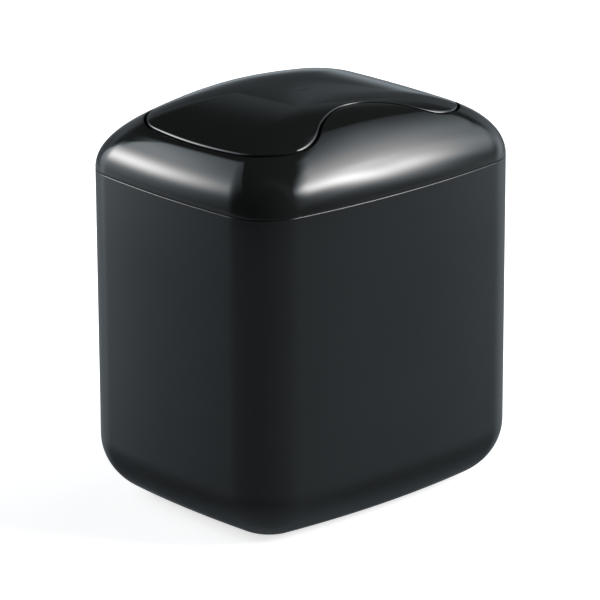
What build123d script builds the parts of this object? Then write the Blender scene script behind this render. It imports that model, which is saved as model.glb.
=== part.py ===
"""Small swing-lid bin: a bowed open body, a domed lid cover and a weighted flap that turns on two pins.

Millimetres. X runs left to right, -Y is the front, +Z is up. The origin is the centre of the base.
"""
from build123d import *
from math import cos, radians, sin, sqrt
import os

os.makedirs("parts", exist_ok=True)

# Body
body_width = 172.0
body_depth = 140.0
body_height = 161.0
front_bow_radius = 462.0
side_bow_radius = 480.0
corner_radius = 25.0
base_round = 29.0
base_corner_radius = 5.0
bowl_steps = 6
body_wall = 2.2
floor_thickness = 2.6
foot_ring_width = 5.0
foot_recess = 0.8
rim_round = 0.5

# Dome of the lid
dome_rise = 34.6
dome_wall = 1.8
width_rise_power = 2.27
width_edge_power = 2.05
depth_rise_power = 1.9
depth_edge_power = 3.57
crown_front_bow = 0.61
crown_side_bow = 0.11
bow_power = 1.48
crown_corner_share = 0.5
corner_power = 3.3
dome_sections = 9
dome_last_angle = 84.0

# Skirt that seats the lid in the mouth of the body
skirt_clearance = 0.3
skirt_wall = 1.8
skirt_depth = 12.0
skirt_ledge = 2.5

# Flap outline seen from above, with its margins to the sides of the body
flap_side_margin = 17.7
flap_front_margin = 20.8
flap_back_margin = 23.0
flap_side_bow_radius = 215.0
flap_back_bow = 1.5
flap_corner_radius = 21.7
bay_depth = 18.5
bay_middle_share = 0.585
bay_slope = 30.5
flap_gap = 1.4

# Pivot of the flap
pin_radius = 1.5
pin_cover = 0.2
pin_running_gap = 0.05
pin_head_radius = 3.2
pin_head_thickness = 1.4
head_gap = 0.3
cheek_inset = 3.4
cheek_thickness = 3.0
cheek_top_width = 26.0
cheek_bottom_radius = 7.5
bracket_gap = 0.6
bracket_thickness = 2.6
bracket_radius = 7.0

# Counterweight
weight_drop = 18.0
weight_forward = 1.0
weight_radius = 4.0
weight_play = 0.1
weight_reach = 2.0
cap_radius = 6.5
cap_end = 1.5

# Worked out from the sizes above
half_width = body_width / 2
half_depth = body_depth / 2
wall_middle = dome_wall / 2
flap_half_width = half_width - flap_side_margin
flap_front = half_depth - flap_front_margin
flap_back = half_depth - flap_back_margin
cheek_outer = flap_half_width - cheek_inset
cheek_inner = cheek_outer - cheek_thickness
bracket_inner = flap_half_width + flap_gap + bracket_gap
bracket_outer = bracket_inner + bracket_thickness
ledge_top = body_height + skirt_ledge
weight_half_length = cheek_outer + weight_reach


def outline(height, reach_x, reach_y, front_radius, side_radius, round_radius):
    """Closed outline with four bowed sides and round corners, lying at one height."""
    with BuildSketch(Plane.XY.offset(height)) as sketch:
        with Locations((0, front_radius - reach_y)):
            Circle(front_radius)
        with Locations((0, reach_y - front_radius)):
            Circle(front_radius, mode=Mode.INTERSECT)
        with Locations((side_radius - reach_x, 0)):
            Circle(side_radius, mode=Mode.INTERSECT)
        with Locations((reach_x - side_radius, 0)):
            Circle(side_radius, mode=Mode.INTERSECT)
        fillet(sketch.vertices(), radius=round_radius)
    return sketch.sketch


def wall_outline(height, inset):
    """Outline of the upright body wall, moved inwards by an inset."""
    return outline(
        height,
        half_width - inset,
        half_depth - inset,
        front_bow_radius - inset,
        side_bow_radius - inset,
        corner_radius - inset,
    )


def bowl_sections(bottom, round_size, inset):
    """Outlines of the rounded bottom, from the flat of the floor up to the upright wall."""
    sections = []
    for step in range(bowl_steps + 1):
        angle = radians(90 * step / bowl_steps)
        tuck = round_size * (1 - sin(angle))
        corner_loss = (corner_radius - base_corner_radius) * tuck / base_round
        sections.append(
            outline(
                bottom + round_size * (1 - cos(angle)),
                half_width - inset - tuck,
                half_depth - inset - tuck,
                front_bow_radius - inset - tuck,
                side_bow_radius - inset - tuck,
                corner_radius - inset - corner_loss,
            )
        )
    return sections


def bow_depth(radius, reach):
    """How far an arc of this radius bows out over a half chord."""
    return radius - sqrt(radius ** 2 - reach ** 2)


def dome_outline(share, inset):
    """Outline of the dome at a share of its rise, for a dome set in by an inset."""
    reach_x = (half_width - inset) * (1 - share ** width_rise_power) ** (1 / width_edge_power)
    reach_y = (half_depth - inset) * (1 - share ** depth_rise_power) ** (1 / depth_edge_power)
    blend = share ** bow_power
    front_radius = 1 / ((1 - blend) / (front_bow_radius - inset) + blend * crown_front_bow / reach_x)
    side_radius = 1 / ((1 - blend) / (side_bow_radius - inset) + blend * crown_side_bow / reach_y)
    flat_reach = min(
        reach_x - bow_depth(side_radius, reach_y),
        reach_y - bow_depth(front_radius, reach_x),
    )
    rim_reach = half_depth - inset - bow_depth(front_bow_radius - inset, half_width - inset)
    rim_corner_share = (corner_radius - inset) / rim_reach
    turn = share ** corner_power
    round_radius = flat_reach * (rim_corner_share * (1 - turn) + crown_corner_share * turn)
    height = body_height + (dome_rise - inset) * share
    return outline(height, reach_x, reach_y, front_radius, side_radius, round_radius)


def dome_height(x, inset):
    """Height of the dome over a point of its left-to-right middle line."""
    share = (1 - (x / (half_width - inset)) ** width_edge_power) ** (1 / width_rise_power)
    return body_height + (dome_rise - inset) * share


def dome(inset):
    """Solid dome standing on the rim plane, set in by an inset."""
    sections = []
    for step in range(dome_sections):
        angle = radians(dome_last_angle * step / (dome_sections - 1))
        sections.append(dome_outline(sin(angle), inset))
    with BuildPart() as solid:
        loft(sections)
    return solid.part


def flap_outline(height, grow):
    """Flap seen from above, grown outwards: round corners and a bay in the front edge."""
    side_centre_x = flap_half_width - flap_side_bow_radius
    front_centre_y = flap_corner_radius - flap_front
    back_centre_y = flap_back - flap_corner_radius
    corner_orbit = flap_side_bow_radius - flap_corner_radius
    front_centre_x = side_centre_x + sqrt(corner_orbit ** 2 - front_centre_y ** 2)
    back_centre_x = side_centre_x + sqrt(corner_orbit ** 2 - back_centre_y ** 2)
    side_radius = flap_side_bow_radius + grow
    round_radius = flap_corner_radius + grow
    reach = side_radius / corner_orbit
    side_front_x = side_centre_x + (front_centre_x - side_centre_x) * reach
    side_front_y = front_centre_y * reach
    side_back_x = side_centre_x + (back_centre_x - side_centre_x) * reach
    side_back_y = back_centre_y * reach
    front_y = -flap_front - grow
    back_y = flap_back + grow
    slope = radians(bay_slope)
    bay_middle_x = front_centre_x / 2 - grow * sin(slope)
    bay_middle_y = bay_depth * bay_middle_share - flap_front - grow * cos(slope)
    with BuildSketch(Plane.XY.offset(height)) as sketch:
        with BuildLine():
            Spline(
                (-front_centre_x, front_y),
                (-bay_middle_x, bay_middle_y),
                (0, front_y + bay_depth),
                (bay_middle_x, bay_middle_y),
                (front_centre_x, front_y),
                tangents=((1, 0), (cos(slope), sin(slope)), (1, 0), (cos(slope), -sin(slope)), (1, 0)),
            )
            RadiusArc((front_centre_x, front_y), (side_front_x, side_front_y), -round_radius)
            RadiusArc((side_front_x, side_front_y), (side_back_x, side_back_y), -side_radius)
            RadiusArc((side_back_x, side_back_y), (back_centre_x, back_y), -round_radius)
            Spline(
                (back_centre_x, back_y),
                (0, back_y + flap_back_bow),
                (-back_centre_x, back_y),
                tangents=((-1, 0), (-1, 0)),
            )
            RadiusArc((-back_centre_x, back_y), (-side_back_x, side_back_y), -round_radius)
            RadiusArc((-side_back_x, side_back_y), (-side_front_x, side_front_y), -side_radius)
            RadiusArc((-side_front_x, side_front_y), (-front_centre_x, front_y), -round_radius)
        make_face()
    return sketch.sketch


# Construction solids of the lid: what hangs from the dome ends in the middle of its wall
outer_dome = dome(0)
inner_dome = dome(dome_wall)

with BuildPart() as hanging_room:
    add(dome(wall_middle))
    extrude(wall_outline(body_height, wall_middle), amount=-body_height)

# The pins lie as high as the dome lets them at the outer faces of the brackets
pivot_height = dome_height(bracket_outer, dome_wall) - pin_cover - pin_radius
weight_height = pivot_height - weight_drop
print(f"Pivot axis {pivot_height:.3f} mm above the base")

# Body
with BuildPart() as bin_body:
    loft(bowl_sections(0, base_round, 0))
    extrude(wall_outline(base_round, 0), amount=body_height - base_round)
    fillet(bin_body.faces().sort_by(Axis.Z)[-1].edges(), radius=rim_round)
    inner_round = base_round - body_wall
    loft(bowl_sections(floor_thickness, inner_round, body_wall), mode=Mode.SUBTRACT)
    cavity_bottom = floor_thickness + inner_round
    extrude(wall_outline(cavity_bottom, body_wall), amount=body_height - cavity_bottom, mode=Mode.SUBTRACT)
    recess_inset = base_round + foot_ring_width
    recess = outline(
        0,
        half_width - recess_inset,
        half_depth - recess_inset,
        front_bow_radius - recess_inset,
        side_bow_radius - recess_inset,
        base_corner_radius,
    )
    extrude(recess, amount=foot_recess, mode=Mode.SUBTRACT)
bin_body.part.label = "bin_body"
export_step(bin_body.part, "parts/bin_body.step")

# Lid cover: domed shell, ledge on the rim, skirt in the mouth and two brackets for the pins
skirt_outer_inset = body_wall + skirt_clearance
skirt_inner_inset = skirt_outer_inset + skirt_wall

with BuildPart() as brackets:
    for side in (-1, 1):
        with BuildSketch(Plane.YZ.offset(side * bracket_inner)):
            with Locations((0, pivot_height)):
                Circle(bracket_radius)
                Rectangle(2 * bracket_radius, dome_rise, align=(Align.CENTER, Align.MIN))
            with Locations((0, pivot_height)):
                Circle(pin_radius, mode=Mode.SUBTRACT)
        extrude(amount=side * bracket_thickness)
    add(hanging_room.part, mode=Mode.INTERSECT)

with BuildPart() as lid_cover:
    add(outer_dome)
    add(inner_dome, mode=Mode.SUBTRACT)
    extrude(wall_outline(body_height, wall_middle), amount=skirt_ledge)
    extrude(wall_outline(body_height, skirt_outer_inset), amount=-skirt_depth)
    skirt_bottom = body_height - skirt_depth
    extrude(wall_outline(skirt_bottom, skirt_inner_inset), amount=ledge_top - skirt_bottom, mode=Mode.SUBTRACT)
    extrude(flap_outline(ledge_top, flap_gap), amount=dome_rise, mode=Mode.SUBTRACT)
    add(brackets.part)
lid_cover.part.label = "lid_cover"
export_step(lid_cover.part, "parts/lid_cover.step")

# Swing flap: the middle of the dome with two cheeks that hang below it
with BuildPart() as cheeks:
    for side in (-1, 1):
        with BuildSketch(Plane.YZ.offset(side * cheek_inner)):
            with BuildLine():
                Polyline(
                    (-weight_forward - cheek_bottom_radius, weight_height),
                    (-cheek_top_width / 2, pivot_height),
                    (-cheek_top_width / 2, body_height + dome_rise),
                    (cheek_top_width / 2, body_height + dome_rise),
                    (cheek_top_width / 2, pivot_height),
                    (-weight_forward + cheek_bottom_radius, weight_height),
                    close=True,
                )
            make_face()
            with Locations((-weight_forward, weight_height)):
                Circle(cheek_bottom_radius)
                Circle(weight_radius + weight_play, mode=Mode.SUBTRACT)
            with Locations((0, pivot_height)):
                Circle(pin_radius + pin_running_gap, mode=Mode.SUBTRACT)
        extrude(amount=side * cheek_thickness)
    add(hanging_room.part, mode=Mode.INTERSECT)

with BuildPart() as swing_flap:
    add(outer_dome)
    add(inner_dome, mode=Mode.SUBTRACT)
    extrude(flap_outline(ledge_top, 0), amount=dome_rise, mode=Mode.INTERSECT)
    add(cheeks.part)
swing_flap.part.label = "swing_flap"
export_step(swing_flap.part, "parts/swing_flap.step")

# Pivot pins: headed inside the cheeks, pressed into the brackets
head_outer = cheek_inner - head_gap

for side, name in ((-1, "left_pivot_pin"), (1, "right_pivot_pin")):
    with BuildPart() as pivot_pin:
        with BuildSketch(Plane.YZ.offset(side * head_outer)):
            with Locations((0, pivot_height)):
                Circle(pin_radius)
        extrude(amount=side * (bracket_outer - head_outer))
        with BuildSketch(Plane.YZ.offset(side * head_outer)):
            with Locations((0, pivot_height)):
                Circle(pin_head_radius)
        extrude(amount=-side * pin_head_thickness)
    pivot_pin.part.label = name
    export_step(pivot_pin.part, f"parts/{name}.step")

# Counterweight bar through both cheeks
with BuildPart() as counterweight_bar:
    with BuildSketch(Plane.YZ):
        with Locations((-weight_forward, weight_height)):
            Circle(weight_radius)
    extrude(amount=weight_half_length, both=True)
counterweight_bar.part.label = "counterweight_bar"
export_step(counterweight_bar.part, "parts/counterweight_bar.step")

# Caps pushed on the ends of the bar
for side, name in ((-1, "left_weight_cap"), (1, "right_weight_cap")):
    with BuildPart() as weight_cap:
        with BuildSketch(Plane.YZ.offset(side * cheek_outer)):
            with Locations((-weight_forward, weight_height)):
                Circle(cap_radius)
        extrude(amount=side * (weight_reach + cap_end))
        with BuildSketch(Plane.YZ.offset(side * cheek_outer)):
            with Locations((-weight_forward, weight_height)):
                Circle(weight_radius)
        extrude(amount=side * weight_reach, mode=Mode.SUBTRACT)
    weight_cap.part.label = name
    export_step(weight_cap.part, f"parts/{name}.step")
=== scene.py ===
"""Looks of the small swing-lid bin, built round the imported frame.

Metres, in the CAD frame: X runs left to right, -Y is the front, +Z is up.
"""
from math import cos, pi, radians, sin, sqrt

import bmesh
import bpy
import numpy as np
from mathutils import Matrix, Vector


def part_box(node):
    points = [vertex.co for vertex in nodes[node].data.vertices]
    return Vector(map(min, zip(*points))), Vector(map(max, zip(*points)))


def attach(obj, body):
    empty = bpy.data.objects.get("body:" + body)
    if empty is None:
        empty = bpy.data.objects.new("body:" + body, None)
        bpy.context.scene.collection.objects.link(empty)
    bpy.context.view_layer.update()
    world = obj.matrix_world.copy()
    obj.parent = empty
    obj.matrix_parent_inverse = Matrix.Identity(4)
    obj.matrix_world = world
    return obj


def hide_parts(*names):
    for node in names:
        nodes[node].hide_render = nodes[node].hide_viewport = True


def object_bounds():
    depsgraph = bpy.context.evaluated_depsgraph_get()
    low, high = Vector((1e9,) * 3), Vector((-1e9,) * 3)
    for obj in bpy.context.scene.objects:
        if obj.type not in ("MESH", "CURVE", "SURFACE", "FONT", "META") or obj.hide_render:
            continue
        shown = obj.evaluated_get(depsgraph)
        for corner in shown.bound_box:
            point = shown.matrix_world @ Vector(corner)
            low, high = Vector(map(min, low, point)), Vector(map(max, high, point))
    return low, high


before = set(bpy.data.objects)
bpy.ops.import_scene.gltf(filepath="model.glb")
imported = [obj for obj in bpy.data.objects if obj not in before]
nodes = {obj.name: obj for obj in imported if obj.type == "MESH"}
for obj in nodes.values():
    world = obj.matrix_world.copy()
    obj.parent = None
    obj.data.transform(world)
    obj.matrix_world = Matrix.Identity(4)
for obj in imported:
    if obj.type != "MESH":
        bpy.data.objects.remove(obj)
cad_low, cad_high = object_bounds()

mm = 0.001

# Body, from the frame and the sizes of the part
body_low, body_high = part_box("bin_body")
half_width = body_high.x
half_depth = body_high.y
body_height = body_high.z
front_bow_radius = 462 * mm
side_bow_radius = 480 * mm
corner_radius = 25 * mm
base_round = 29 * mm
base_corner_radius = 5 * mm
body_wall = 2.2 * mm
floor_thickness = 2.6 * mm
foot_ring_width = 5 * mm
foot_recess = 0.8 * mm
rim_round = 0.5 * mm
small_round = 0.2 * mm

# Dome of the lid: how far it rises, and the powers and shares that shape its outlines on the way up
dome_rise = cad_high.z - body_height
dome_wall = 1.8 * mm
width_rise_power = 2.27
width_edge_power = 2.05
depth_rise_power = 1.9
depth_edge_power = 3.57
crown_front_bow = 0.61
crown_side_bow = 0.11
bow_power = 1.48
crown_corner_share = 0.5
corner_power = 3.3

# Skirt and bottom edge of the cover
skirt_inset = 2.5 * mm
skirt_wall = 1.8 * mm
skirt_depth = 12 * mm
skirt_ledge = 2.5 * mm
cover_round = 0.7 * mm

# Flap seen from above. A hold is how long the bay's curve keeps to its direction, in chords
flap_side_margin = 17.7 * mm
flap_front_margin = 20.8 * mm
flap_back_margin = 23.0 * mm
flap_half_width = half_width - flap_side_margin
flap_front = half_depth - flap_front_margin
flap_back = half_depth - flap_back_margin
flap_side_bow_radius = 215 * mm
flap_back_bow = 1.5 * mm
flap_corner_radius = 21.7 * mm
bay_depth = 18.5 * mm
bay_middle_share = 0.585
bay_slope = radians(30.5)
bay_top_hold = 0.94
bay_middle_hold = 0.97
bay_end_hold = 1.37
flap_gap = 1.4 * mm
flap_edge_round = 0.65 * mm
hole_edge_round = 0.35 * mm

# Pivot, brackets and cheeks
pin_low, pin_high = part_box("right_pivot_pin")
pivot_height = (pin_low.z + pin_high.z) / 2
bar_low, bar_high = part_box("counterweight_bar")
weight_y = (bar_low.y + bar_high.y) / 2
weight_height = (bar_low.z + bar_high.z) / 2
pin_radius = 1.5 * mm
pin_hole_radius = 1.55 * mm
weight_hole_radius = 4.1 * mm
bracket_thickness = 2.6 * mm
bracket_outer = pin_high.x
bracket_inner = bracket_outer - bracket_thickness
bracket_radius = 7 * mm
cheek_inset = 3.4 * mm
cheek_thickness = 3 * mm
cheek_outer = flap_half_width - cheek_inset
cheek_inner = cheek_outer - cheek_thickness
cheek_top_width = 26 * mm
cheek_bottom_radius = 7.5 * mm
cheek_bottom_slope = radians(12.6)
plate_bevel = 0.3 * mm

# How finely the meshes are cut
front_steps = 44
corner_steps = 26
side_steps = 72
bowl_steps = 22
rim_steps = 6
cover_round_steps = 4
dome_steps = 36
shoulder_steps = 18
inner_shoulder_steps = 8
inner_dome_steps = 14
flap_steps = 48
flap_edge_steps = 7
underside_steps = 16
hole_steps = 48
plate_round_steps = 24
plate_bevel_steps = 2
bracket_top_steps = 14
cheek_top_steps = 26
quarters = (0.25, 0.5, 0.75)

# The dome's height over a point is found in this many halvings, up to just under the crown
halvings = 46
crown_margin = 1e-12

# The cover's level rings end at a share of the lowest height of its hole, and crowd towards the bottom
level_rings_share = 0.8
level_rings_power = 1.2

# The flap's rings close on a point behind the bay
flap_mesh_middle = np.array([0, 8 * mm])

# Points this close are one point, and edges sharper than this angle stay sharp
same_point = 0.001 * mm
trimmed_point = 0.01 * mm
sharp_angle = radians(35)


# Outlines in the plan
def circle_meeting(far_y, far_radius, far_x, other_radius):
    """Point with x and y above zero that lies at given distances from (0, far_y) and (far_x, 0)."""
    apart = np.hypot(far_x, far_y)
    along = (far_radius ** 2 - other_radius ** 2 + apart ** 2) / (2 * apart)
    aside = np.sqrt(np.maximum(far_radius ** 2 - along ** 2, 0))
    unit_x = far_x / apart
    unit_y = -far_y / apart
    foot_x = along * unit_x
    foot_y = far_y + along * unit_y
    first = (foot_x - aside * unit_y, foot_y + aside * unit_x)
    second = (foot_x + aside * unit_y, foot_y - aside * unit_x)
    take_first = first[0] + first[1] > second[0] + second[1]
    return np.where(take_first, first[0], second[0]), np.where(take_first, first[1], second[1])


def arc(centre_x, centre_y, radius, start, end, steps):
    """Points of an arc from one angle to another, without the last one."""
    turn = np.linspace(start, end, steps, endpoint=False)
    return np.column_stack([centre_x + radius * np.cos(turn), centre_y + radius * np.sin(turn)])


def bend(start, start_way, end, end_way, steps):
    """Points of a curve without the last one. Each way is a direction, as long as its hold."""
    chord = np.linalg.norm(end - start)
    share = np.linspace(0, 1, steps, endpoint=False)[:, None]
    blend = share ** 2 * (3 - 2 * share)
    leaving = share * (1 - share) ** 2
    arriving = share ** 2 * (share - 1)
    return start * (1 - blend) + end * blend + chord * (start_way * leaving + end_way * arriving)


def closed(half):
    """Whole outline from its right half, which runs from the front middle to the back middle."""
    return np.concatenate([half, half[-2:0:-1] * [-1, 1]])


def corner_centre(reach_x, reach_y, front_radius, side_radius, round_radius):
    """Middle of the round corner between the front's arc and the side's."""
    front_y = reach_y - front_radius
    side_x = reach_x - side_radius
    return circle_meeting(front_y, front_radius - round_radius, side_x, side_radius - round_radius)


def bowed_outline(reach_x, reach_y, front_radius, side_radius, round_radius):
    """Outline with four bowed sides and round corners."""
    front_y = reach_y - front_radius
    side_x = reach_x - side_radius
    corner_x, corner_y = corner_centre(reach_x, reach_y, front_radius, side_radius, round_radius)
    front_turn = np.arctan2(corner_y - front_y, corner_x)
    side_turn = np.arctan2(corner_y, corner_x - side_x)
    half = np.concatenate([
        arc(0, -front_y, front_radius, -pi / 2, -front_turn, front_steps),
        arc(corner_x, -corner_y, round_radius, -front_turn, -side_turn, corner_steps),
        arc(side_x, 0, side_radius, -side_turn, side_turn, side_steps),
        arc(corner_x, corner_y, round_radius, side_turn, front_turn, corner_steps),
        arc(0, front_y, front_radius, front_turn, pi / 2, front_steps),
        [[0, reach_y]],
    ])
    return closed(half)


def inset_outline(inset, round_radius):
    """Outline of the upright wall moved inwards, with a corner radius of its own."""
    return bowed_outline(
        half_width - inset,
        half_depth - inset,
        front_bow_radius - inset,
        side_bow_radius - inset,
        round_radius,
    )


def wall_outline(inset):
    """Outline of the upright wall, moved inwards."""
    return inset_outline(inset, corner_radius - inset)


def flap_outline():
    """Flap seen from above: round corners, a bay in the front edge and a slightly bowed back edge."""
    side_x = flap_half_width - flap_side_bow_radius
    front_y = flap_corner_radius - flap_front
    back_y = flap_back - flap_corner_radius
    orbit = flap_side_bow_radius - flap_corner_radius
    front_x = side_x + sqrt(orbit ** 2 - front_y ** 2)
    back_x = side_x + sqrt(orbit ** 2 - back_y ** 2)
    front_turn = np.arctan2(front_y, front_x - side_x)
    back_turn = np.arctan2(back_y, back_x - side_x)
    top = np.array([0, bay_depth - flap_front])
    middle = np.array([front_x / 2, bay_depth * bay_middle_share - flap_front])
    end = np.array([front_x, -flap_front])
    across = np.array([1, 0])
    downhill = np.array([cos(bay_slope), -sin(bay_slope)])
    share = np.linspace(0, 1, front_steps, endpoint=False)
    swell = (1 + np.cos(pi * (1 - share))) / 2
    half = np.concatenate([
        bend(top, across * bay_top_hold, middle, downhill * bay_middle_hold, front_steps // 2),
        bend(middle, downhill * bay_middle_hold, end, across * bay_end_hold, front_steps // 2),
        arc(front_x, front_y, flap_corner_radius, -pi / 2, front_turn, corner_steps),
        arc(side_x, 0, flap_side_bow_radius, front_turn, back_turn, side_steps),
        arc(back_x, back_y, flap_corner_radius, back_turn, pi / 2, corner_steps),
        np.column_stack([back_x * (1 - share), flap_back + flap_back_bow * swell]),
        [[0, flap_back + flap_back_bow]],
    ])
    return closed(half)


def grown(plan, distance):
    """Outline moved outwards, square to itself."""
    along = np.roll(plan, -1, axis=0) - np.roll(plan, 1, axis=0)
    out = np.column_stack([along[:, 1], -along[:, 0]])
    return plan + distance * out / np.linalg.norm(out, axis=1)[:, None]


# Dome
def bow_depth(radius, reach):
    """How far an arc bows out over a half chord."""
    return radius - np.sqrt(radius ** 2 - reach ** 2)


def dome_sizes(share, inset):
    """Reaches and radii of the dome's outline at a share of its rise."""
    reach_x = (half_width - inset) * (1 - share ** width_rise_power) ** (1 / width_edge_power)
    reach_y = (half_depth - inset) * (1 - share ** depth_rise_power) ** (1 / depth_edge_power)
    blend = share ** bow_power
    front_radius = 1 / ((1 - blend) / (front_bow_radius - inset) + blend * crown_front_bow / reach_x)
    side_radius = 1 / ((1 - blend) / (side_bow_radius - inset) + blend * crown_side_bow / reach_y)
    flat_reach = np.minimum(
        reach_x - bow_depth(side_radius, reach_y),
        reach_y - bow_depth(front_radius, reach_x),
    )
    rim_reach = half_depth - inset - bow_depth(front_bow_radius - inset, half_width - inset)
    rim_corner_share = (corner_radius - inset) / rim_reach
    turn = share ** corner_power
    round_radius = flat_reach * (rim_corner_share * (1 - turn) + crown_corner_share * turn)
    return reach_x, reach_y, front_radius, side_radius, round_radius


def depth_inside(x, y, share, inset):
    """Distance of plan points inside the dome's outline at their shares of the rise."""
    sizes = dome_sizes(share, inset)
    reach_x, reach_y, front_radius, side_radius, round_radius = sizes
    front_y = reach_y - front_radius
    side_x = reach_x - side_radius
    corner_x, corner_y = corner_centre(*sizes)
    to_front = front_radius - np.hypot(x, y - front_y)
    to_side = side_radius - np.hypot(x - side_x, y)
    to_corner = round_radius - np.hypot(x - corner_x, y - corner_y)
    past_front = np.arctan2(x, y - front_y) > np.arctan2(corner_x, corner_y - front_y)
    past_side = np.arctan2(y, x - side_x) > np.arctan2(corner_y, corner_x - side_x)
    flat = np.minimum(to_front, to_side)
    return np.where(past_front & past_side, np.minimum(to_corner, flat), flat)


def dome_height(plan, inset=0.0):
    """Height of the dome over plan points, found by halving the share of its rise."""
    x = np.abs(plan[:, 0])
    y = np.abs(plan[:, 1])
    low = np.zeros(len(plan))
    high = np.full(len(plan), 1 - crown_margin)
    for _ in range(halvings):
        middle = (low + high) / 2
        is_inside = depth_inside(x, y, middle, inset) > 0
        low = np.where(is_inside, middle, low)
        high = np.where(is_inside, high, middle)
    return body_height + (dome_rise - inset) * low


# Rings
def level(plan, height):
    """Plan points at one height or at their own heights."""
    return np.column_stack([plan, np.broadcast_to(height, len(plan))])


def on_dome(plan, inset=0.0, drop=0.0):
    """Plan points laid on the dome, or a little below it."""
    return level(plan, dome_height(plan, inset) - drop)


def dome_ring(share, inset=0.0):
    """Ring of the dome at a share of its rise."""
    return level(bowed_outline(*dome_sizes(share, inset)), body_height + (dome_rise - inset) * share)


def shares(steps):
    """Shares in equal steps up to 1, without the 0."""
    return [step / steps for step in range(1, steps + 1)]


def crossing(start, end, steps):
    """Plans on the way from one plan to another, without the first."""
    return [start * (1 - share) + end * share for share in shares(steps)]


def quarter_turn(steps):
    """Angles from 0 to a quarter turn."""
    return [pi / 2 * step / steps for step in range(steps + 1)]


# Meshes
def shell(rings, capped):
    """Mesh through a list of rings. Capped, it closes at both ends, and otherwise it joins up with itself."""
    count = len(rings[0])
    mesh = bmesh.new()
    verts = [mesh.verts.new(point) for point in np.concatenate(rings)]
    last = len(rings) - 1 if capped else len(rings)
    for ring in range(last):
        here = ring * count
        there = (ring + 1) % len(rings) * count
        for step in range(count):
            after = (step + 1) % count
            corners = (here + step, here + after, there + after, there + step)
            mesh.faces.new([verts[corner] for corner in corners])
    if capped:
        for ring in (0, len(rings) - 1):
            centre = mesh.verts.new(rings[ring].mean(axis=0))
            for step in range(count):
                after = (step + 1) % count
                mesh.faces.new([centre, verts[ring * count + step], verts[ring * count + after]])
    bmesh.ops.recalc_face_normals(mesh, faces=mesh.faces)
    return mesh


def flat_plate(loops, thickness):
    """Mesh of a flat plate with bevelled edges, from its outline and those of its holes."""
    curve = bpy.data.curves.new("plate", "CURVE")
    curve.dimensions = "2D"
    curve.fill_mode = "BOTH"
    curve.extrude = thickness / 2 - plate_bevel
    curve.bevel_depth = plate_bevel
    curve.bevel_resolution = plate_bevel_steps
    for loop in loops:
        spline = curve.splines.new("POLY")
        spline.points.add(len(loop) - 1)
        for point, (y, z) in zip(spline.points, loop):
            point.co = (y, z, 0, 1)
        spline.use_cyclic_u = True
    holder = bpy.data.objects.new("plate", curve)
    data = bpy.data.meshes.new_from_object(holder)
    mesh = bmesh.new()
    mesh.from_mesh(data)
    bpy.data.objects.remove(holder)
    bpy.data.curves.remove(curve)
    bpy.data.meshes.remove(data)
    bmesh.ops.remove_doubles(mesh, verts=mesh.verts, dist=same_point)
    return mesh


def plate(outline, holes, inner, outer, side):
    """Upright plate with round holes, between two distances from the middle, cut off in the dome's wall."""
    loops = [outline]
    for y, z, radius in holes:
        loops.append(arc(y, z, radius + plate_bevel, 0, 2 * pi, hole_steps))
    mesh = flat_plate(loops, outer - inner)
    places = np.array([vert.co for vert in mesh.verts])
    middle = (inner + outer) / 2
    plan = np.column_stack([side * (middle + places[:, 2]), places[:, 0]])
    ceiling = dome_height(plan, dome_wall / 2)
    for vert, (x, y), z, top in zip(mesh.verts, plan, places[:, 1], ceiling):
        vert.co = (x, y, min(z, top))
    bmesh.ops.remove_doubles(mesh, verts=mesh.verts, dist=trimmed_point)
    bmesh.ops.recalc_face_normals(mesh, faces=mesh.faces)
    return mesh


def plate_top(half_length, steps):
    """Straight top of a plate seen from the side, at the height of the crown."""
    y = np.linspace(half_length, -half_length, steps + 1)
    return np.column_stack([y, np.full(steps + 1, body_height + dome_rise)])


def piece(name, meshes, body, slot, finish, *replaced):
    """One object from one or more meshes, on its body, with its finish, standing for CAD nodes."""
    data = bpy.data.meshes.new(name)
    whole = bmesh.new()
    for mesh in meshes:
        part = bpy.data.meshes.new(name + "_part")
        mesh.to_mesh(part)
        whole.from_mesh(part)
        bpy.data.meshes.remove(part)
        mesh.free()
    whole.to_mesh(data)
    whole.free()
    data.shade_smooth()
    data.set_sharp_from_angle(angle=sharp_angle)
    made = bpy.data.objects.new(name, data)
    bpy.context.scene.collection.objects.link(made)
    data.materials.append(finish)
    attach(made, body)
    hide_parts(*replaced)


# Body
def bowl_ring(bottom, round_size, inset, angle):
    """Ring of the rounded bottom, at an angle of 0 where it is flat and a quarter turn at the wall."""
    tuck = round_size * (1 - sin(angle))
    corner_loss = (corner_radius - base_corner_radius) * tuck / base_round
    plan = inset_outline(inset + tuck, corner_radius - inset - corner_loss)
    return level(plan, bottom + round_size * (1 - cos(angle)))


def recess_rings():
    """Rings of the underside, from the middle of its recess to the foot ring."""
    recess = inset_outline(base_round + foot_ring_width, base_corner_radius)
    rings = [level(recess * share, foot_recess) for share in (*quarters, 1 - small_round / half_depth)]
    rings.append(level(recess, foot_recess - small_round))
    rings.append(level(recess, small_round))
    rings.append(level(grown(recess, small_round), 0))
    return rings


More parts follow.
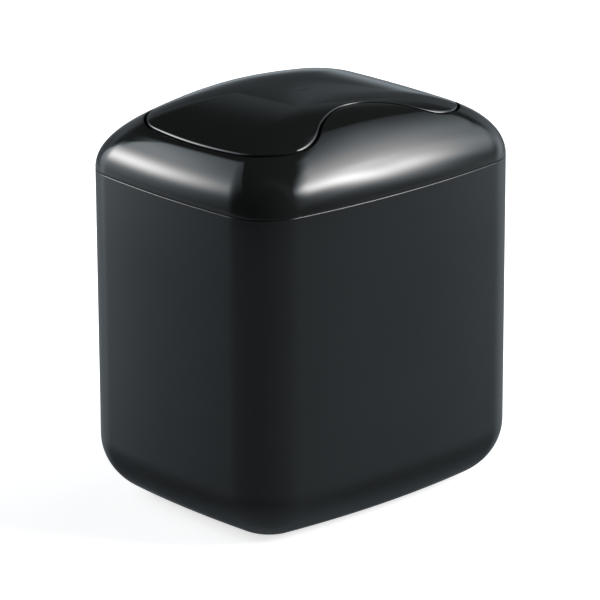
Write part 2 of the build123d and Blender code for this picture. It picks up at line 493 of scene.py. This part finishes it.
def body_rings():
    """Rings of the body, from the middle of its underside round the rim to the middle of its floor."""
    bowl_turn = quarter_turn(bowl_steps)
    wall_heights = [base_round + share * (body_height - base_round) for share in quarters]
    rings = recess_rings()
    for angle in bowl_turn:
        rings.append(bowl_ring(0, base_round, 0, angle))
    for height in wall_heights:
        rings.append(level(wall_outline(0), height))
    for angle in quarter_turn(rim_steps):
        plan = wall_outline(rim_round * (1 - cos(angle)))
        rings.append(level(plan, body_height - rim_round * (1 - sin(angle))))
    rings.append(level(wall_outline(body_wall - small_round), body_height))
    rings.append(level(wall_outline(body_wall), body_height - small_round))
    for height in reversed(wall_heights):
        rings.append(level(wall_outline(body_wall), height))
    for angle in reversed(bowl_turn):
        rings.append(bowl_ring(floor_thickness, base_round - body_wall, body_wall, angle))
    floor_edge = rings[-1][:, :2]
    for share in reversed(quarters):
        rings.append(level(floor_edge * share, floor_thickness))
    return rings


# Lid cover
def cover_outside_rings(hole, top_share):
    """Rings of the cover's outside, from its rounded bottom edge over the dome and down the hole's edge."""
    first_share = cover_round / dome_rise
    top_plan = bowed_outline(*dome_sizes(top_share, 0.0))
    edge = grown(hole, hole_edge_round)
    rings = []
    for angle in quarter_turn(cover_round_steps):
        plan = wall_outline(cover_round * (1 - sin(angle)))
        rings.append(level(plan, body_height + cover_round * (1 - cos(angle))))
    for share in shares(dome_steps):
        rings.append(dome_ring(first_share + (top_share - first_share) * share ** level_rings_power))
    for plan in crossing(top_plan, edge, shoulder_steps):
        rings.append(on_dome(plan))
    for angle in quarter_turn(cover_round_steps)[1:]:
        plan = grown(hole, hole_edge_round * (1 - sin(angle)))
        rings.append(on_dome(plan, drop=hole_edge_round * (1 - cos(angle))))
    return rings


def cover_inside_rings(hole, top_share):
    """Rings of the cover's inside, from the hole down to the ledge over the skirt."""
    ledge_share = skirt_ledge / (dome_rise - dome_wall)
    top_plan = bowed_outline(*dome_sizes(top_share, dome_wall))
    rings = [on_dome(hole, dome_wall)]
    for plan in crossing(hole, top_plan, inner_shoulder_steps):
        rings.append(on_dome(plan, dome_wall))
    for share in shares(inner_dome_steps):
        rings.append(dome_ring(top_share + (ledge_share - top_share) * share, dome_wall))
    return rings


def skirt_rings():
    """Rings of the skirt, down its inside and up its outside."""
    inner = wall_outline(skirt_inset + skirt_wall)
    outer = wall_outline(skirt_inset)
    bottom = body_height - skirt_depth
    return [
        level(inner, body_height + skirt_ledge),
        level(inner, body_height),
        level(inner, bottom + small_round),
        level(wall_outline(skirt_inset + skirt_wall - small_round), bottom),
        level(wall_outline(skirt_inset + small_round), bottom),
        level(outer, bottom + small_round),
        level(outer, body_height),
    ]


def cover_rings():
    """Rings round the whole section of the cover."""
    hole = grown(flap_outline(), flap_gap)
    lowest = (dome_height(grown(hole, hole_edge_round)).min() - body_height) / dome_rise
    top_share = level_rings_share * lowest
    return cover_outside_rings(hole, top_share) + cover_inside_rings(hole, top_share) + skirt_rings()


def bracket_outline():
    """Plate round the pin, seen from the side, that runs up into the dome."""
    low = arc(0, pivot_height, bracket_radius, -pi, 0, plate_round_steps)
    return np.concatenate([low, plate_top(bracket_radius, bracket_top_steps)])


# Flap
def flap_rings():
    """Rings of the flap, from the top middle over its rounded edge to the middle of its underside."""
    outline = flap_outline()
    rings = []
    for plan in crossing(flap_mesh_middle, grown(outline, -flap_edge_round), flap_steps):
        rings.append(on_dome(plan))
    for angle in quarter_turn(flap_edge_steps)[1:]:
        plan = grown(outline, flap_edge_round * (sin(angle) - 1))
        rings.append(on_dome(plan, drop=flap_edge_round * (1 - cos(angle))))
    rings.append(on_dome(grown(outline, -small_round / 2), dome_wall))
    for plan in reversed(crossing(flap_mesh_middle, grown(outline, -small_round), underside_steps)):
        rings.append(on_dome(plan, dome_wall))
    return rings


def cheek_outline():
    """Hanging cheek seen from the side: wide at the dome, round at the counterweight."""
    shoulder = cheek_top_width / 2
    start = cheek_bottom_slope - pi
    low = arc(weight_y, weight_height, cheek_bottom_radius, start, -cheek_bottom_slope, plate_round_steps)
    return np.concatenate([
        [[-shoulder, pivot_height]],
        low,
        [[shoulder, pivot_height]],
        plate_top(shoulder, cheek_top_steps),
    ])


# Materials, with slow changes of colour and gloss over this distance
slow_change_size = 40 * mm
slow_change_detail = 3
grain_detail = 2

# Sockets of the node that mixes two colours
mix_factor = 0
mix_first = 6
mix_second = 7
mix_result = 2


def colour_mix(tree, share, first, second):
    """Colour between two others, by a share from another node."""
    node = tree.nodes.new("ShaderNodeMix")
    node.data_type = "RGBA"
    tree.links.new(share, node.inputs[mix_factor])
    node.inputs[mix_first].default_value = (*first, 1)
    node.inputs[mix_second].default_value = (*second, 1)
    return node.outputs[mix_result]


def noise(tree, place, size, detail):
    """Noise over the object, with a size and a detail."""
    node = tree.nodes.new("ShaderNodeTexNoise")
    node.inputs["Scale"].default_value = 1 / size
    node.inputs["Detail"].default_value = detail
    tree.links.new(place, node.inputs["Vector"])
    return node.outputs["Fac"]


def material(name, colour, roughness, grain_size, grain_depth, colour_change, roughness_change, metallic=0.0):
    """Moulded plastic or metal: a fine grain in the surface and a slow change of colour and gloss over it."""
    made = bpy.data.materials.new(name)
    made.use_nodes = True
    tree = made.node_tree
    shader = tree.nodes["Principled BSDF"]
    shader.inputs["Metallic"].default_value = metallic
    place = tree.nodes.new("ShaderNodeTexCoord").outputs["Object"]

    slow = noise(tree, place, slow_change_size, slow_change_detail)
    darker = [value * (1 - colour_change) for value in colour]
    lighter = [value * (1 + colour_change) for value in colour]
    tree.links.new(colour_mix(tree, slow, darker, lighter), shader.inputs["Base Color"])
    gloss = tree.nodes.new("ShaderNodeMapRange")
    gloss.inputs["To Min"].default_value = roughness - roughness_change
    gloss.inputs["To Max"].default_value = roughness + roughness_change
    tree.links.new(slow, gloss.inputs["Value"])
    tree.links.new(gloss.outputs["Result"], shader.inputs["Roughness"])

    bump = tree.nodes.new("ShaderNodeBump")
    bump.inputs["Strength"].default_value = 1
    bump.inputs["Distance"].default_value = grain_depth
    tree.links.new(noise(tree, place, grain_size, grain_detail), bump.inputs["Height"])
    tree.links.new(bump.outputs["Normal"], shader.inputs["Normal"])
    return made


satin_black = material(
    "satin_black_plastic",
    colour=(0.0110, 0.0125, 0.0130),
    roughness=0.20,
    grain_size=0.5 * mm,
    grain_depth=0.002 * mm,
    colour_change=0.12,
    roughness_change=0.03,
)
gloss_black = material(
    "gloss_black_plastic",
    colour=(0.0105, 0.0115, 0.0112),
    roughness=0.03,
    grain_size=3 * mm,
    grain_depth=0.0002 * mm,
    colour_change=0.05,
    roughness_change=0.008,
)
bright_steel = material(
    "bright_steel",
    colour=(0.62, 0.62, 0.63),
    roughness=0.22,
    grain_size=0.3 * mm,
    grain_depth=0.002 * mm,
    colour_change=0.06,
    roughness_change=0.05,
    metallic=1.0,
)
plated_steel = material(
    "plated_steel",
    colour=(0.42, 0.42, 0.43),
    roughness=0.34,
    grain_size=0.4 * mm,
    grain_depth=0.004 * mm,
    colour_change=0.12,
    roughness_change=0.08,
    metallic=1.0,
)
cap_black = material(
    "cap_black_plastic",
    colour=(0.03, 0.03, 0.03),
    roughness=0.4,
    grain_size=0.4 * mm,
    grain_depth=0.003 * mm,
    colour_change=0.1,
    roughness_change=0.05,
)

# Pieces
piece("bin_body_shell", [shell(body_rings(), capped=True)], "body", "body_plastic", satin_black, "bin_body")

cover_meshes = [shell(cover_rings(), capped=False)]
bracket_holes = [(0, pivot_height, pin_radius)]
for side in (-1, 1):
    cover_meshes.append(plate(bracket_outline(), bracket_holes, bracket_inner, bracket_outer, side))
piece("lid_cover_shell", cover_meshes, "lid", "lid_plastic", gloss_black, "lid_cover")

flap_meshes = [shell(flap_rings(), capped=True)]
cheek_holes = [(0, pivot_height, pin_hole_radius), (weight_y, weight_height, weight_hole_radius)]
for side in (-1, 1):
    flap_meshes.append(plate(cheek_outline(), cheek_holes, cheek_inner, cheek_outer, side))
piece("swing_flap_shell", flap_meshes, "flap", "lid_plastic", gloss_black, "swing_flap")

for name, finish in (
    ("left_pivot_pin", bright_steel),
    ("right_pivot_pin", bright_steel),
    ("counterweight_bar", plated_steel),
    ("left_weight_cap", cap_black),
    ("right_weight_cap", cap_black),
):
    data = nodes[name].data
    data.materials.clear()
    data.materials.append(finish)

# Floor
floor_reach = 8.0
floor_colour = (0.8, 0.8, 0.8)
floor_glow = 0.7


def floor_paint():
    """Pale matt paint that also glows, for the camera alone."""
    paint = bpy.data.materials.new("floor_paint")
    paint.use_nodes = True
    tree = paint.node_tree
    tree.nodes.clear()
    output = tree.nodes.new("ShaderNodeOutputMaterial")
    diffuse = tree.nodes.new("ShaderNodeBsdfDiffuse")
    diffuse.inputs["Color"].default_value = (*floor_colour, 1)
    shine = tree.nodes.new("ShaderNodeEmission")
    both = tree.nodes.new("ShaderNodeAddShader")
    path = tree.nodes.new("ShaderNodeLightPath")
    scale = tree.nodes.new("ShaderNodeMath")
    scale.operation = "MULTIPLY"
    scale.inputs[1].default_value = floor_glow
    tree.links.new(path.outputs["Is Camera Ray"], scale.inputs[0])
    tree.links.new(scale.outputs[0], shine.inputs["Strength"])
    tree.links.new(diffuse.outputs[0], both.inputs[0])
    tree.links.new(shine.outputs[0], both.inputs[1])
    tree.links.new(both.outputs[0], output.inputs["Surface"])
    return paint


floor_mesh = bpy.data.meshes.new("floor")
floor_corners = [
    (-floor_reach, -floor_reach, 0),
    (floor_reach, -floor_reach, 0),
    (floor_reach, floor_reach, 0),
    (-floor_reach, floor_reach, 0),
]
floor_mesh.from_pydata(floor_corners, [], [(0, 1, 2, 3)])
floor_mesh.materials.append(floor_paint())
floor = bpy.data.objects.new("floor", floor_mesh)
bpy.context.scene.collection.objects.link(floor)
floor.visible_glossy = False

# Studio, all of it in the world's nodes and set up round the camera's side of the object
camera_azimuth = -42.292
camera_elevation = 18.65
skywards = Vector((0, 0, 1))

# Glows stay on their own side of the sky, by how far a direction points towards their middle
own_side_middle = 0.3
own_side_width = 0.5

# Softness of the faint edges
edge_softness = 0.012

world = bpy.data.worlds.new("studio")
bpy.context.scene.world = world
world.use_nodes = True
sky = world.node_tree
sky.nodes.clear()
ray = sky.nodes.new("ShaderNodeTexCoord").outputs["Generated"]


def direction(azimuth, elevation):
    """Unit vector from the object, by degrees to the right of the front and degrees above the floor."""
    turn = radians(azimuth)
    lift = radians(elevation)
    return Vector((sin(turn) * cos(lift), -cos(turn) * cos(lift), sin(lift)))


def maths(operation, *values):
    """Node that works out one number from numbers and from other nodes."""
    node = sky.nodes.new("ShaderNodeMath")
    node.operation = operation
    for socket, value in zip(node.inputs, values):
        if isinstance(value, bpy.types.NodeSocket):
            sky.links.new(value, socket)
        else:
            socket.default_value = value
    return node.outputs["Value"]


def total(*values):
    """Sum of several values."""
    result = values[0]
    for value in values[1:]:
        result = maths("ADD", result, value)
    return result


def product(*values):
    """Several values multiplied."""
    result = values[0]
    for value in values[1:]:
        result = maths("MULTIPLY", result, value)
    return result


def bell(square):
    """Bell curve of a squared distance, 1 in the middle."""
    return maths("EXPONENT", maths("MULTIPLY", square, -1.0))


def towards(vector):
    """How far the looked-at direction points along a vector."""
    node = sky.nodes.new("ShaderNodeVectorMath")
    node.operation = "DOT_PRODUCT"
    sky.links.new(ray, node.inputs[0])
    node.inputs[1].default_value = vector
    return node.outputs["Value"]


def rise(value, middle, width):
    """Soft step from 0 to 1."""
    node = sky.nodes.new("ShaderNodeMapRange")
    node.interpolation_type = "SMOOTHSTEP"
    sky.links.new(value, node.inputs["Value"])
    node.inputs["From Min"].default_value = middle - width / 2
    node.inputs["From Max"].default_value = middle + width / 2
    return node.outputs["Result"]


def fall(value, middle, width):
    """Soft step from 1 to 0."""
    return maths("SUBTRACT", 1.0, rise(value, middle, width))


def card(corners):
    """Flat card, 1 inside and 0 outside. A corner is azimuth, elevation and softness of the edge after it."""
    points = [direction(azimuth, elevation) for azimuth, elevation, softness in corners]
    middle = sum(points, Vector())
    inside = 1.0
    for point, after, (azimuth, elevation, softness) in zip(points, points[1:] + points[:1], corners):
        inwards = point.cross(after).normalized()
        if inwards.dot(middle) < 0:
            inwards.negate()
        inside = maths("MULTIPLY", rise(towards(inwards), middle=0, width=softness), inside)
    return inside


def glow(strength, at, size, tilt=0.0):
    """Soft spot of light at an azimuth and elevation, wide and high as sines of angles, tilted by radians."""
    azimuth, elevation = at
    width, height = size
    centre = direction(azimuth, elevation)
    across = Vector((cos(radians(azimuth)), sin(radians(azimuth)), 0))
    upwards = across.cross(centre)
    if upwards.z < 0:
        upwards.negate()
    along_width = towards((across * cos(tilt) + upwards * sin(tilt)) / width)
    along_height = towards((upwards * cos(tilt) - across * sin(tilt)) / height)
    square = maths("MULTIPLY_ADD", along_width, along_width, product(along_height, along_height))
    return product(bell(square), strength, rise(towards(centre), own_side_middle, own_side_width))


def above_line(first, second):
    """How far the looked-at direction is above the line through two others."""
    normal = direction(*first).cross(direction(*second)).normalized()
    if normal.z < 0:
        normal.negate()
    return towards(normal)


def faded_step(height, reach):
    """Light that starts sharply at a height of 0 and fades above it."""
    share = maths("DIVIDE", height, reach)
    return product(rise(height, middle=0, width=edge_softness), bell(product(share, share)))


def lamp_behind_card(box, flag, *glows):
    """Glows seen through a card, less what a flag in front of it covers."""
    return product(box, maths("SUBTRACT", 1.0, flag), total(*glows))


# Soft box at the front right, which lights the bay side of the lid
right_box = card([
    (20.5, -7, 0.045),
    (30.5, 41, 0.045),
    (44.5, 56, 0.035),
    (68.5, 63.5, 0.40),
    (92.5, 63, 0.035),
    (120.5, 54, 0.045),
    (106.5, 2.5, 0.30),
])
right_flag = card([
    (89.5, 31.5, 0.015),
    (133.5, 28.5, 0.05),
    (114.5, -10.5, 0.20),
    (93.5, 7.5, 0.20),
])
right_core = glow(15.5, at=(35, 28), size=(0.20, 0.07), tilt=-1.31)
right_upper = glow(6.3, at=(43, 36), size=(0.40, 0.15), tilt=-0.31)
right_lower = glow(9.6, at=(48, 20), size=(0.19, 0.135), tilt=0.22)
right_inner_spill = glow(13.6, at=(-8, 46.5), size=(0.56, 0.225), tilt=0.86)
right_core_edge = glow(7.3, at=(41.5, 24.5), size=(0.29, 0.14), tilt=-1.42)
right_outer_spill = glow(4.1, at=(48.5, 45.5), size=(0.21, 0.52), tilt=1.44)
right_light = lamp_behind_card(
    right_box,
    right_flag,
    right_core,
    right_upper,
    right_lower,
    right_inner_spill,
    right_core_edge,
    right_outer_spill,
)

# Soft box at the back left, which lights the left side of the lid
left_box = card([
    (-129.5, -19.5, 0.60),
    (-118, 57, 0.055),
    (-150, 61, 0.10),
    (-176, 58.5, 0.022),
    (172, 52, 0.055),
    (173, 49.5, 0.06),
    (-178.5, 4.5, 0.80),
])
left_flag = card([
    (-178.5, -4, 0.24),
    (-171.5, 22, 0.04),
    (-164, 34, 0.012),
    (177, 41.5, 0.09),
    (147, 39.5, 0.05),
    (146, 0, 0.12),
])
left_core = glow(12.4, at=(-150, 25), size=(0.18, 0.195), tilt=0.90)
left_upper = glow(1.5, at=(-172, 41), size=(0.21, 0.09))
left_wide = glow(2.1, at=(-159.5, 16), size=(0.555, 0.545), tilt=-0.39)
left_low = glow(2.2, at=(-159, -17), size=(0.14, 0.22), tilt=-0.25)
left_light = lamp_behind_card(left_box, left_flag, left_core, left_upper, left_wide, left_low)

# Weak light low down, all round and on both sides
low_side_strength = 0.34
ground_strength = 0.17
underneath_strength = 0.19
side_band_middle = -0.63
side_band_width = 0.255
to_viewer = towards(direction(camera_azimuth, 0))
upward = towards(skywards)
side_share = maths("DIVIDE", maths("SUBTRACT", to_viewer, side_band_middle), side_band_width)
low_side_start = rise(upward, middle=-0.45, width=0.5)
low_side_end = fall(upward, middle=0.40, width=0.25)
low_side_height = product(low_side_start, low_side_end)
low_side = product(bell(product(side_share, side_share)), low_side_height, low_side_strength)
ground_start = rise(upward, middle=-0.6, width=0.6)
ground_end = fall(upward, middle=-0.18, width=0.05)
ground = product(ground_start, ground_end, ground_strength)
underneath = product(fall(upward, middle=-0.75, width=0.3), underneath_strength)
low_right = glow(1.0, at=(79, -1), size=(0.456, 0.203), tilt=0.345)
low_front = glow(0.16, at=(29.5, 25.5), size=(0.11, 0.90), tilt=0.14)

# Horizon behind the object and the faint edge above it, which the flap mirrors
faint_edge_strength = 0.07
high_step_reach = 0.11
low_step_reach = 0.05
horizon_left = glow(0.15, at=(148.5, 5.5), size=(0.12, 0.90), tilt=-0.73)
horizon = glow(0.32, at=(138, -2), size=(0.35, 0.08))
high_step = faded_step(above_line((150, 22), (140, 22.3)), high_step_reach)
low_step = faded_step(above_line((139.6, 21), (134.3, 5)), low_step_reach)
low_step_part = product(low_step, fall(upward, middle=0.395, width=0.05))
is_behind = fall(to_viewer, middle=-0.6, width=0.3)
faint_edge = product(maths("MAXIMUM", high_step, low_step_part), is_behind, faint_edge_strength)

light = total(
    right_light,
    left_light,
    low_side,
    ground,
    underneath,
    low_right,
    low_front,
    horizon_left,
    horizon,
    faint_edge,
)

# Weak light is a little blue, and strong light is white
weak_light_colour = (0.89, 1.01, 1.10)
strong_light_colour = (1, 1, 1)
strong_light_middle = 3
strong_light_width = 5
is_strong = rise(light, strong_light_middle, strong_light_width)
lit = sky.nodes.new("ShaderNodeBackground")
sky.links.new(light, lit.inputs["Strength"])
sky.links.new(colour_mix(sky, is_strong, weak_light_colour, strong_light_colour), lit.inputs["Color"])

# The camera sees plain white, and everything else the lights
white = sky.nodes.new("ShaderNodeBackground")
white.inputs["Color"].default_value = (1, 1, 1, 1)
path = sky.nodes.new("ShaderNodeLightPath")
is_seen = maths("MAXIMUM", path.outputs["Is Camera Ray"], path.outputs["Is Transmission Ray"])
choice = sky.nodes.new("ShaderNodeMixShader")
sky.links.new(is_seen, choice.inputs["Fac"])
sky.links.new(lit.outputs[0], choice.inputs[1])
sky.links.new(white.outputs[0], choice.inputs[2])
world_output = sky.nodes.new("ShaderNodeOutputWorld")
sky.links.new(choice.outputs[0], world_output.inputs["Surface"])

# Camera, at the photograph's viewing angle. Its lens and sensor are in millimetres
camera_target = Vector((0, 1.5 * mm, 91.21 * mm))
camera_distance = 1939.39 * mm
camera_roll = radians(-0.235)
camera_lens = 245.09
sensor_width = 36
nearest_seen = 0.1
farthest_seen = 50

towards_camera = direction(camera_azimuth, camera_elevation)
level_right = skywards.cross(towards_camera).normalized()
level_up = towards_camera.cross(level_right)
right = level_right * cos(camera_roll) + level_up * sin(camera_roll)
up = level_up * cos(camera_roll) - level_right * sin(camera_roll)
turn = Matrix((right, up, towards_camera)).transposed()
camera_data = bpy.data.cameras.new("camera")
camera_data.sensor_width = sensor_width
camera_data.lens = camera_lens
camera_data.clip_start = nearest_seen
camera_data.clip_end = farthest_seen
camera = bpy.data.objects.new("camera", camera_data)
bpy.context.scene.collection.objects.link(camera)
camera.matrix_world = Matrix.Translation(camera_target + towards_camera * camera_distance) @ turn.to_4x4()
bpy.context.scene.camera = camera
bpy.context.scene.view_settings.view_transform = "Standard"
